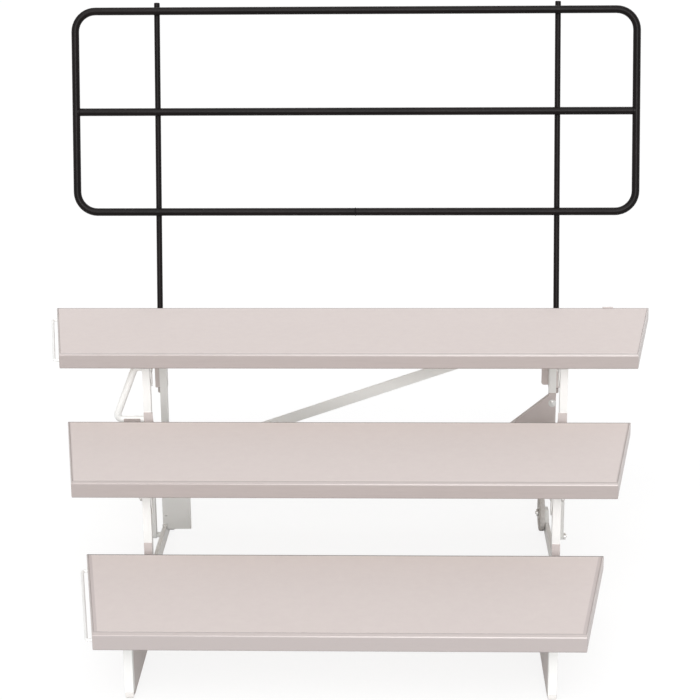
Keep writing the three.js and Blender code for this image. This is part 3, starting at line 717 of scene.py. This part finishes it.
def gather(part, body, finish="bolt_plate", slot="dark_steel"):
    key = (body, finish, slot)
    if key not in gathered:
        gathered[key] = bmesh.new()
    joinTo(gathered[key], part)


# profiles of turned parts are pairs of a radius and a height
bolt = {
    "thread": 0.0049,
    "pitch": 0.00125,
    "nutRadius": 0.0107,
    "nutHeight": 0.0064,
    "chamfer": 0.0009,
    "washer": 0.0122,
    "washerHeight": 0.0012,
    "washerEase": 0.0003,
    "shows": 0.0035,
    "headRadius": 0.0085,
    "headHeight": 0.0038,
    "hexShare": 0.75,
}


def washerAt(place, axis, body):
    wide, tall, ease = bolt["washer"], bolt["washerHeight"], bolt["washerEase"]
    profile = [(0, 0), (wide - ease * 2 / 3, 0), (wide, ease)]
    profile += [(wide, tall - ease), (wide - ease, tall), (0, tall)]
    gather(turned(profile, 28, place, axis), body)


# a hex nut over the plain nut of the solid, with the end of its thread
def nutAt(place, axis, body):
    wide, tall, ease = bolt["nutRadius"], bolt["nutHeight"], bolt["chamfer"]
    profile = [(0, 0), (wide - ease, 0), (wide, ease * 0.5)]
    profile += [(wide, tall - ease * 0.6), (wide - ease, tall), (0, tall)]
    gather(turned(profile, 6, place, axis), body)
    crest, pitch, start = bolt["thread"], bolt["pitch"], tall * 0.9
    thread = [(0, start)]
    for at in range(int((tall * 0.1 + bolt["shows"]) / pitch)):
        height = start + at * pitch
        thread += [(crest * 0.86, height), (crest, height + pitch / 2)]
    thread += [(crest * 0.8, height + pitch), (0, height + pitch)]
    gather(turned(thread, 20, place, axis), body)


def headAt(place, axis, body, radius=bolt["headRadius"], tall=bolt["headHeight"]):
    profile = [(0, 0), (radius, 0), (radius, tall * 0.3), (radius * 0.9, tall * 0.62)]
    profile += [(radius * 0.62, tall * 0.9), (radius * 0.3, tall), (0, tall)]
    gather(turned(profile, 24, place, axis), body)


def boltAt(place, axis, body):
    washerAt(place, axis, body)
    wide, tall = bolt["nutRadius"] * bolt["hexShare"], bolt["nutHeight"] * bolt["hexShare"]
    profile = [(0, 0), (wide, 0), (wide, tall * 0.8), (wide * 0.9, tall), (0, tall)]
    gather(turned(profile, 6, place + axis * bolt["washerHeight"], axis), body)


# how far from its leg's face or middle each fastener of a pivot lies
play = {"nut": 0.0005, "cheek": 0.0153, "link": 0.0168, "wheel": 0.0008}
pivotFloor = joints["riser_fold"]["pos_m"][2]
pivotMiddle = joints["middle_deck_level"]["pos_m"][2]
pivotTop = joints["top_deck_level"]["pos_m"][2]
linkHeight = joints["level_link_turn"]["pos_m"][2]


def besideLeg(leg, side, away, height):
    return Vector((leg.x + side * away, leg.y, height))


for name, side in sides:
    middle = middleOf(f"{name}_middle_leg")
    top = middleOf(f"{name}_top_leg")
    rear = middleOf(f"{name}_rear_leg")
    outward = acrossX * side
    clear = halfTube + play["nut"]
    nutAt(besideLeg(middle, side, -clear, pivotFloor), -outward, "front_step")
    nutAt(besideLeg(top, side, clear, pivotFloor), outward, "front_step")
    nutAt(besideLeg(middle, side, clear, pivotMiddle), outward, "middle_deck")
    nutAt(besideLeg(top, side, clear, pivotMiddle), outward, "middle_deck")
    nutAt(besideLeg(rear, side, -clear, pivotTop), -outward, "top_deck")
    headAt(besideLeg(middle, side, -play["cheek"], pivotMiddle), -outward, "middle_deck")
    headAt(besideLeg(top, side, -play["cheek"], pivotMiddle), -outward, "middle_deck")
    headAt(besideLeg(top, side, -play["cheek"], pivotTop), -outward, "top_deck")
    headAt(besideLeg(rear, side, play["cheek"], pivotTop), outward, "top_deck")
    for leg in (top, rear):
        nutAt(besideLeg(leg, side, -clear, linkHeight), -outward, "level_links")
        headAt(besideLeg(leg, side, play["link"], linkHeight), outward, "level_links")
    low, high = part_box(f"{name}_wheel_tyre")
    away = (high.x - low.x) / 2 + play["wheel"]
    nutAt((low + high) / 2 - outward * away, -outward, "front_step")

# bolts through the gusset and the brace
bracing = {
    "gussetBolt": 0.318,
    "gussetLow": 0.11,
    "gussetRun": 0.25,
    "gussetPlate": 0.0038,
    "braceLow": 0.128,
    "bracePlate": 0.0053,
}
rearRight = middleOf("right_rear_leg")
rearLeft = middleOf("left_rear_leg")
gussetFace = rearRight.y - halfTube - bracing["gussetPlate"]
braceFace = rearRight.y - halfTube - bracing["bracePlate"]
for place in (
    (rearRight.x, gussetFace, bracing["gussetBolt"]),
    (rearRight.x, gussetFace, bracing["gussetLow"]),
    (rearRight.x - bracing["gussetRun"], gussetFace, bracing["gussetLow"]),
    (rearLeft.x, braceFace, bracing["braceLow"]),
):
    boltAt(Vector(place), -acrossY, "rear_leg_frame")

# pan-head screws that hold each board, in the channels below it
screw = {
    "radius": 0.0046,
    "height": 0.0022,
    "web": 0.0162,
    "depths": (0.035, 0.17, 0.29, 0.39),
    "widths": {"front": 0.048, "middle": 0.0823, "top": 0.0306},
    "crossPlaces": (-0.42, -0.21, 0.0, 0.21, 0.42),
}
for level, width in screw["widths"].items():
    low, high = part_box(f"{level}_deck_subframe")
    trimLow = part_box(f"{level}_deck_trim")[0]
    body = bodyOf[f"{level}_deck_subframe"]
    channels = (low.x + width / 2, high.x - width / 2)
    inSides = [(x, depth) for x in channels for depth in screw["depths"]]
    inCross = [((low.x + high.x) / 2 + x, deckDepth / 2) for x in screw["crossPlaces"]]
    for x, depth in inSides + inCross:
        place = Vector((x, trimLow.y + depth, trimLow.z + screw["web"]))
        headAt(place, -acrossZ, body, screw["radius"], screw["height"])

# knob inserts, the welded nuts that their stems turn in, plugs in the posts and boots below them
knob = {
    "back": 0.035,
    "insert": 0.006,
    "insertHeight": 0.0014,
    "sleeve": 0.0152,
    "hole": 0.0049,
    "nut": 0.0088,
    "nutHeight": 0.0045,
}
postEnd = {
    "plug": 0.00873,
    "plugHeight": 0.0022,
    "bootSole": [(0, -0.0024), (0.0055, -0.0024), (0.0084, -0.0014), (0.0093, 0.0004)],
    "bootGroove": [(0.0093, 0.012), (0.0088, 0.0126), (0.0088, 0.0138), (0.0093, 0.0144)],
    "bootTop": [(0.0093, 0.027), (0.0088, 0.0276), (0, 0.0276)],
}
for name, side in sides:
    turn = joints[f"{name}_knob_turn"]
    pivot = Vector(turn["pos_m"])
    axis = Vector(turn["axis"])
    hole, wide, tall = knob["hole"], knob["nut"], knob["nutHeight"]
    ring = [(hole, 0), (wide, 0), (wide, tall), (hole, tall), (hole, 0)]
    gather(turned(ring, 6, pivot + axis * knob["sleeve"], axis), "rear_leg_frame")
    headAt(pivot + axis * knob["back"], axis, f"{name}_knob", knob["insert"], knob["insertHeight"])
    bottom, above = postEnds(name)
    wide, tall = postEnd["plug"], postEnd["plugHeight"]
    plug = [(0, 0), (wide, 0), (wide, tall * 0.4), (wide * 0.85, tall * 0.85)]
    plug += [(wide * 0.5, tall), (0, tall)]
    gather(turned(plug, 28, above, upPost), "guard_rail", "knob_plastic", "knob_plastic")
    boot = postEnd["bootSole"] + postEnd["bootGroove"] + postEnd["bootTop"]
    gather(turned(boot, 28, bottom, upPost), "guard_rail", "pad_rubber", "foot_rubber")
print("fasteners gathered:", len(gathered))


# wheel tyres: a rounded tread cut by cross grooves
tread = {
    "steps": 96,
    "every": 4,
    "grooveDepth": 0.0016,
    "rim": 0.0442,
    "shoulder": [(0.005, 0), (0.0016, 0.0008), (0, 0.0028)],
}


def makeTyre(node):
    low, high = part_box(node)
    radius, half = (high.z - low.z) / 2, (high.x - low.x) / 2
    shoulder = [(radius - down, half - inward) for down, inward in tread["shoulder"]]
    near, far = (tread["rim"], 0.0003 - half), (tread["rim"], half - 0.0003)
    profile = [near] + [(r, -x) for r, x in shoulder] + shoulder[::-1] + [far, near]
    bm = turned(profile, tread["steps"], Vector((0, 0, 0)), acrossZ)
    for vert in bm.verts:
        step = round(atan2(vert.co.y, vert.co.x) / (2 * pi) * tread["steps"])
        if vert.co.xy.length > radius - 0.0005 and step % tread["every"] == 0:
            vert.co.xy *= 1 - tread["grooveDepth"] / radius
    turn = Matrix.Translation((low + high) / 2) @ Matrix.Rotation(pi / 2, 4, "Y")
    bmesh.ops.transform(bm, matrix=turn, verts=bm.verts)
    piece = addPiece(camel(node), meshFrom(bm, camel(node)), bodyOf[node], slotOf[node])
    evenFaces(piece)
    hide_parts(node)


for node in sorted(tyres):
    makeTyre(node)
print("tyres cut")

# plugged feet of the square legs: a round sole, a groove and a collar, as (half width, height)
foot = {
    "glideSole": [(0, 0), (0.0042, 0.0002), (0.0075, 0.0016), (0.0097, 0.0042), (0.0107, 0.0074)],
    "glideHeight": 0.0108,
    "footSole": [(0, 0), (0.0068, 0.0002), (0.0095, 0.001), (0.0107, 0.0026), (0.011, 0.005)],
    "footHeight": 0.0088,
    "groove": 0.0006,
    "grooveStarts": 0.0003,
    "grooveHeight": 0.0014,
    "ease": 0.0012,
}


def makeFoot(node):
    low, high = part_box(node)
    kind = node.split("_")[-1]
    half, top, inward = (high.x - low.x) / 2, high.z - low.z, foot["groove"]
    sole = foot[kind + "Height"]
    collar = sole + foot["grooveHeight"]
    profile = foot[kind + "Sole"] + [(halfTube, sole), (half - inward, sole + foot["grooveStarts"])]
    profile += [(half - inward, collar), (half, collar + foot["grooveStarts"]), (half, top), (0, top)]
    corners = [(radius * 2 ** 0.5, height) for radius, height in profile]
    bm = turned(corners, 4, Vector((0, 0, 0)), acrossZ)
    uprights = []
    for edge in bm.edges:
        first, last = (vert.co.xy for vert in edge.verts)
        if min(first.length, last.length) > 0.004 and abs(first.angle(last)) < 0.01:
            uprights.append(edge)
    bevelEdges(bm, uprights, foot["ease"], 3)
    place = Matrix.Translation(((low.x + high.x) / 2, (low.y + high.y) / 2, low.z))
    bmesh.ops.transform(bm, matrix=place @ Matrix.Rotation(pi / 4, 4, "Z"), verts=bm.verts)
    piece = addPiece(camel(node), meshFrom(bm, camel(node)), bodyOf[node], slotOf[node])
    evenFaces(piece)
    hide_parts(node)


for node in sorted(feet):
    makeFoot(node)
print("feet moulded:", len(feet))


# a flat outline in two directions, drawn out into a plate with eased edges
def plateOf(outline, across, up, out, thickness, ease):
    bm = bmesh.new()
    face = bm.faces.new([bm.verts.new(across * x + up * y) for x, y in outline])
    drawn = bmesh.ops.extrude_face_region(bm, geom=[face])
    moved = [part for part in drawn["geom"] if isinstance(part, bmesh.types.BMVert)]
    bmesh.ops.translate(bm, vec=out * thickness, verts=moved)
    bmesh.ops.recalc_face_normals(bm, faces=bm.faces)
    bevelEdges(bm, sharpEdges(bm, 30), ease)
    return bm


def addPlate(name, bm, body, finish):
    evenFaces(addPiece(name, meshFrom(bm, name), body, finish), 80)


# a pad round the lower half of the loop's bar, ribbed below, in the darker rubber: a dark piece that is painted
# shade on the underside of the tube
pad = {
    "from": 0.0106,
    "length": 0.049,
    "width": 0.0245,
    "height": 0.0175,
    "top": 0.0158,
    "ribs": 5,
    "ribDepth": 0.0014,
    "ease": 0.0005,
}


def makeLoopShadePad():
    leg = middleOf("left_top_leg")
    outline = [(0, 0)]
    step, sole = pad["length"] / pad["ribs"], -pad["height"]
    for rib in range(pad["ribs"]):
        at, groove = rib * step, sole + pad["ribDepth"]
        outline += [(at, sole), (at + step * 0.7, sole)]
        outline += [(at + step * 0.75, groove), (at + step * 0.95, groove)]
    outline += [(pad["length"], 0)]
    bm = plateOf(outline, -acrossX, acrossZ, acrossY, pad["width"], pad["ease"])
    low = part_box("left_leg_loop")[0]
    start = Vector((leg.x - halfTube - pad["from"], leg.y - pad["width"] / 2, low.z + pad["top"]))
    bmesh.ops.translate(bm, vec=start, verts=bm.verts)
    addPlate("loopPad", bm, "top_leg_frame", "pad_rubber")


# ear of the right rail socket, on the inner side of its leg
ear = {
    "width": 0.022,
    "height": 0.078,
    "corner": 0.007,
    "down": 0.056,
    "lap": 0.001,
    "thickness": 0.003,
    "ease": 0.0006,
}


def makeSocketEar():
    low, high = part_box("right_rail_socket")
    wide, tall, cut, lap = ear["width"], ear["height"], ear["corner"], ear["lap"]
    outline = [(lap, 0), (-wide, 0), (-wide, cut - tall), (-wide + cut * 0.3, cut * 0.3 - tall)]
    outline += [(-wide + cut, -tall), (lap, -tall)]
    bm = plateOf(outline, acrossX, acrossZ, acrossY, ear["thickness"], ear["ease"])
    bmesh.ops.translate(bm, vec=Vector((low.x, low.y, high.z - ear["down"])), verts=bm.verts)
    addPlate("rightSocketEar", bm, "rear_leg_frame", "dark_steel")


# ribs on each face of the wheel hubs, a little wider at the axle
hub = {
    "ribs": 6,
    "from": 0.0125,
    "to": 0.0375,
    "halfWidth": 0.0013,
    "web": 0.0037,
    "stands": 0.0026,
    "ease": 0.0006,
}


def makeHubRibs(name):
    low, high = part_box(f"{name}_wheel_tyre")
    near, far, half = hub["from"], hub["to"], hub["halfWidth"]
    outline = [(near, -half * 1.5), (far, -half), (far, half), (near, half * 1.5)]
    whole = bmesh.new()
    for out in (-acrossX, acrossX):
        for rib in range(hub["ribs"]):
            angle = 2 * pi * rib / hub["ribs"]
            spoke = acrossY * cos(angle) + acrossZ * sin(angle)
            bm = plateOf(outline, spoke, out.cross(spoke), out, hub["stands"], hub["ease"])
            bmesh.ops.translate(bm, vec=(low + high) / 2 + out * hub["web"], verts=bm.verts)
            joinTo(whole, bm)
    addPlate(f"{name}WheelRibs", whole, f"{name}_wheel", "wheel_hub")


# an upright bead pressed into the wheel guard, and the bolt that holds its foot
guard = {
    "bead": 0.0024,
    "beadStands": 0.0004,
    "fromEdge": 0.0087,
    "low": 0.034,
    "high": 0.066,
    "fold": 0.012,
    "foot": 0.0032,
    "bolt": 0.0046,
    "boltHeight": 0.0026,
}


def makeGuardDetails():
    low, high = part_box("left_wheel_guard")
    curve = roundCurve("guardBead", guard["bead"], 4)
    spline = curve.splines.new("BEZIER")
    spline.bezier_points.add(1)
    x, y = high.x - guard["fromEdge"], low.y + guard["fold"] + guard["beadStands"]
    for knot, height in zip(spline.bezier_points, (guard["low"], guard["high"])):
        knot.co = (x, y, low.z + height)
        knot.handle_left_type = knot.handle_right_type = "VECTOR"
    addPiece("guardBead", meshOfCurve(curve, "guardBead"), "front_step", "frame_paint")
    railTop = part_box("left_floor_rail")[1].z
    place = Vector((low.x + halfTube, low.y + guard["fold"] / 2, railTop + guard["foot"]))
    headAt(place, acrossZ, "front_step", guard["bolt"], guard["boltHeight"])


# rivets through the catch
rivet = {"inward": 0.008, "up": 0.009, "radius": 0.0031, "height": 0.0014}


def makeCatchRivets():
    low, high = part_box("top_rear_catch")
    for x in (low.x + rivet["inward"], high.x - rivet["inward"]):
        place = Vector((x, high.y, low.z + rivet["up"]))
        headAt(place, acrossY, "top_deck", rivet["radius"], rivet["height"])


makeLoopShadePad()
makeSocketEar()
for name, side in sides:
    makeHubRibs(name)
makeGuardDetails()
makeCatchRivets()
print("small details added")

# weld beads: a rippled cord of metal along each joint
bead = {
    "thickness": 0.0017,
    "pitch": 0.0016,
    "dip": 0.76,
    "stands": 0.0004,
    "squareShare": 0.94,
    "halfSteps": 14,
}
welds = {}


def weld(body, points, closed=True):
    welds.setdefault(body, []).append((points, closed))


def weldRing(body, centre, first, second):
    count = max(12, int(2 * pi * max(first.length, second.length) / bead["pitch"]) // 2 * 2)
    angles = [2 * pi * step / count for step in range(count)]
    weld(body, [centre + first * cos(angle) + second * sin(angle) for angle in angles])


# round a square tube, where its face meets another piece
def weldSquare(body, centre, first, second):
    points = []
    for out, along in ((first, second), (second, -first), (-first, -second), (-second, first)):
        count = int(out.length * 2 / bead["pitch"])
        for step in range(count):
            share = (1 - 2 * (step + 0.5) / count) * bead["squareShare"]
            points.append(centre + out + along * share)
    weld(body, points)


def weldUp(body, start, length):
    count = max(4, int(length / bead["pitch"]))
    weld(body, [start + acrossZ * length * step / count for step in range(count + 1)], False)


def makeWelds():
    for body, paths in welds.items():
        curve = roundCurve("weldBead", bead["thickness"], 1)
        for points, closed in paths:
            spline = curve.splines.new("POLY")
            spline.points.add(len(points) - 1)
            spline.use_cyclic_u = closed
            for index, place in enumerate(points):
                spline.points[index].co = (*place, 1)
                spline.points[index].radius = 1.0 if index % 2 else bead["dip"]
        name = camel(body) + "Welds"
        finish = "rail_paint" if body == "guard_rail" else "frame_paint"
        addPiece(name, meshOfCurve(curve, name), body, finish)


square = halfTube + bead["stands"]
for tie in ("front_leg_tie", "middle_leg_tie", "top_leg_tie", "rear_leg_tie"):
    low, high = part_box(tie)
    centre = (low + high) / 2
    for x in (low.x, high.x):
        weldSquare(bodyOf[tie], Vector((x, centre.y, centre.z)), acrossY * square, acrossZ * square)

# guard rail: bars to posts, the ends of the middle bar and the closing joint of the hoop
aroundBar = (outOfRail * rail["tube"], upPost * rail["tube"])
for name, side in sides:
    for height in (-1, 0, 1):
        place = hoopCentre + hoopTall * height
        place.x = postEnds(name)[0].x
        contact = place - outOfRail * (rail["tube"] - bead["stands"])
        weldRing("guard_rail", contact, acrossX * rail["weldAcross"], upPost * rail["weldAlong"])
    inset = acrossX * -side * rail["weldInset"]
    weldRing("guard_rail", hoopCentre + hoopWide * side + inset, *aroundBar)
weldRing("guard_rail", hoopCentre - hoopTall, outOfRail * rail["tube"], acrossZ * rail["tube"])

# the upper end of the loop is welded on its lower half only, clear of the hinge above it
loopEnds = loopCorners()
weldRing("top_leg_frame", loopEnds[0], acrossY * loop["tube"], acrossZ * loop["tube"])
under = []
for step in range(1, bead["halfSteps"]):
    turn = pi + pi * step / bead["halfSteps"]
    under.append(loopEnds[-1] + (acrossY * cos(turn) + acrossZ * sin(turn)) * loop["tube"])
weld("top_leg_frame", under, False)
alongBar = Vector((-sin(sideAngle), cos(sideAngle), 0)) * endBar["tube"]
for level in ("front", "top"):
    ends = endBarCorners(level)
    for place in (ends[0], ends[-1]):
        weldRing(bodyOf[f"{level}_end_bar"], place, alongBar, acrossZ * endBar["tube"])

# upright welds, as heights and lengths
upright = {
    "panelInset": 0.0035,
    "panelHeights": (0.025, 0.075, 0.125),
    "panelLength": 0.025,
    "railHeight": 0.006,
    "railLength": 0.034,
    "socketAbove": 0.014,
    "socketLength": 0.125,
    "gussetHeights": (0.14, 0.2, 0.26),
    "gussetLength": 0.03,
}
for name, side in sides:
    leg = middleOf(f"{name}_front_leg")
    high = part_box(f"{name}_front_leg")[1]
    weldSquare("front_step", Vector((leg.x, leg.y, high.z)), acrossX * square, acrossY * square)
    web = leg.x - side * (halfTube - upright["panelInset"])
    for height in upright["panelHeights"]:
        weldUp("front_step", Vector((web, leg.y + halfTube, height)), upright["panelLength"])
    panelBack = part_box(f"{name}_side_panel")[1].y
    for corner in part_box(f"{name}_floor_strip"):
        start = Vector((corner.x, panelBack, upright["railHeight"]))
        weldUp("front_step", start, upright["railLength"])
    rear = middleOf(f"{name}_rear_leg")
    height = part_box(f"{name}_rail_socket")[0].z + upright["socketAbove"]
    for x in (rear.x - halfTube, rear.x + halfTube):
        weldUp("rear_leg_frame", Vector((x, rear.y + halfTube, height)), upright["socketLength"])
for height in upright["gussetHeights"]:
    start = Vector((rearRight.x - halfTube, rearRight.y - halfTube, height))
    weldUp("rear_leg_frame", start, upright["gussetLength"])
makeWelds()
print("welds laid:", sum(len(paths) for paths in welds.values()))

# the gathered parts become pieces, once every fastener is in them
gatheredAs = {"bolt_plate": "Fasteners", "knob_plastic": "Plugs", "pad_rubber": "Boots"}
for (body, finish, slot), bm in gathered.items():
    name = camel(body) + gatheredAs[finish]
    evenFaces(addPiece(name, meshFrom(bm, name), body, finish, False))


# studio: a white floor that keeps a soft shadow, an even sky, a broad lamp above and low fills
studio = {
    "floorSize": 160,
    "floorWhite": 0.17,
    "floorBounce": 0.7,
    "floorLift": 0.86,
    "skyLevel": 0.37,
}
# each lamp's strength, spread, height above the floor and turn from the front, in degrees
lamps = {
    "topLamp": (1.68, 55, 54, -12),
    "frontFill": (1.3, 24, 17, 3),
    "backFill": (0.7, 60, 20, 160),
}


# how much a ray sees the backdrop: the camera's, and those of gloss and glass
def backdropRays(paint):
    shows = paint.add("LightPath", output="Is Camera Ray")
    for kind in ("Is Glossy Ray", "Is Transmission Ray"):
        shows = shows.sum("MAXIMUM", shows, paint.add("LightPath", output=kind))
    return shows


def addFloor():
    bm = bmesh.new()
    bmesh.ops.create_grid(bm, x_segments=1, y_segments=1, size=studio["floorSize"] / 2)
    floor = bpy.data.objects.new("studioFloor", meshFrom(bm, "studioFloor"))
    if floor.data.polygons[0].normal.z < 0:
        floor.data.flip_normals()
    bpy.context.scene.collection.objects.link(floor)
    paint = Paint("studioFloor", Roughness=1.0, Specular_IOR_Level=0.0)
    shows = backdropRays(paint)
    white, bounce = studio["floorWhite"], studio["floorBounce"]
    paint.colour(paint.mixed(shows, (bounce, bounce, bounce, 1.0), (white, white, white, 1.0)))
    paint.feed(paint.shader.inputs["Emission Color"], (1.0, 1.0, 1.0, 1.0))
    paint.feed(paint.shader.inputs["Emission Strength"], shows * studio["floorLift"])
    floor.data.materials.append(paint.material)


def addSky():
    world = bpy.data.worlds.new("studioSky")
    bpy.context.scene.world = world
    world.use_nodes = True
    tree = world.node_tree
    back = tree.nodes["Background"]
    back.inputs["Color"].default_value = (1.0, 1.0, 1.0, 1.0)
    rays = tree.nodes.new("ShaderNodeLightPath")
    shows = rays.outputs["Is Camera Ray"]
    for kind in ("Is Glossy Ray", "Is Transmission Ray"):
        either = tree.nodes.new("ShaderNodeMath")
        either.operation = "MAXIMUM"
        tree.links.new(shows, either.inputs[0])
        tree.links.new(rays.outputs[kind], either.inputs[1])
        shows = either.outputs[0]
    level = tree.nodes.new("ShaderNodeMapRange")
    level.inputs["To Min"].default_value = studio["skyLevel"]
    level.inputs["To Max"].default_value = 1.0
    tree.links.new(shows, level.inputs["Value"])
    tree.links.new(level.outputs[0], back.inputs["Strength"])


def addLamp(name, strength, spread, height, turnedBy):
    data = bpy.data.lights.new(name, "SUN")
    data.energy = strength
    data.angle = radians(spread)
    lamp = bpy.data.objects.new(name, data)
    turn = Matrix.Rotation(radians(turnedBy), 4, "Z")
    lamp.matrix_world = turn @ Matrix.Rotation(radians(90 - height), 4, "X")
    bpy.context.scene.collection.objects.link(lamp)


addFloor()
addSky()
for name, settings in lamps.items():
    addLamp(name, *settings)
bpy.context.scene.view_settings.view_transform = "Standard"
print("studio lit")
